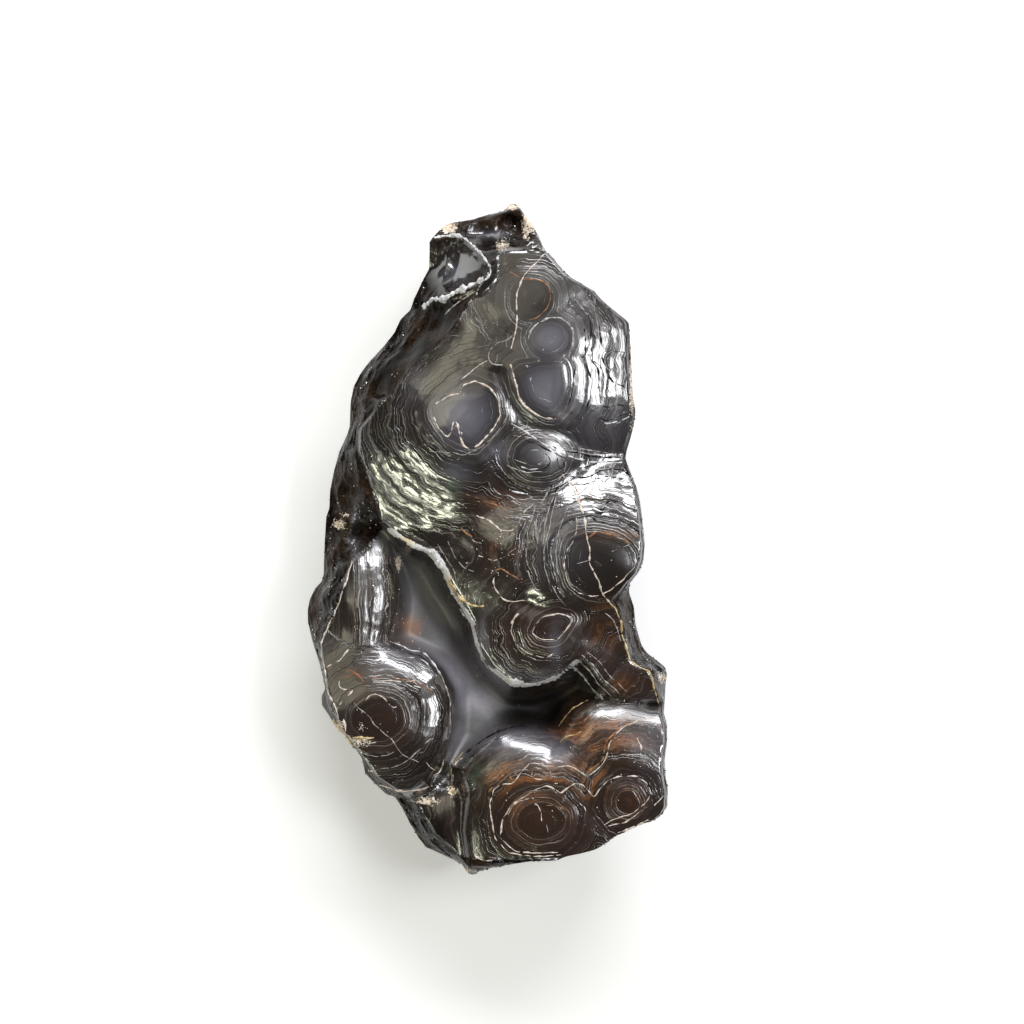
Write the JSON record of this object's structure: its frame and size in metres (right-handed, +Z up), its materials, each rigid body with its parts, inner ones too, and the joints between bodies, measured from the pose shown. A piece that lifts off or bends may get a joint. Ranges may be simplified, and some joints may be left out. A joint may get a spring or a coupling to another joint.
{
  "type": "hematite specimen",
  "caption": "Botryoidal hematite stone with a polished, ring-banded, domed face, a deep hollow between its lobes, broken flanks and a flat broken back.",
  "frame": {"origin": "centre of the bounding box in X and Y, at the height of the flat base that the stone rests on", "axes": "+Z up out of the polished domed face, +Y toward the narrow tip, +X to the right when the face is seen from above with the tip away from the viewer"},
  "size_m": [0.0724, 0.1352, 0.038],
  "materials": {
    "hematite": "polished"
  },
  "bodies": {
    "root": {"hematite": "hematite"}
  },
  "joints": []
}
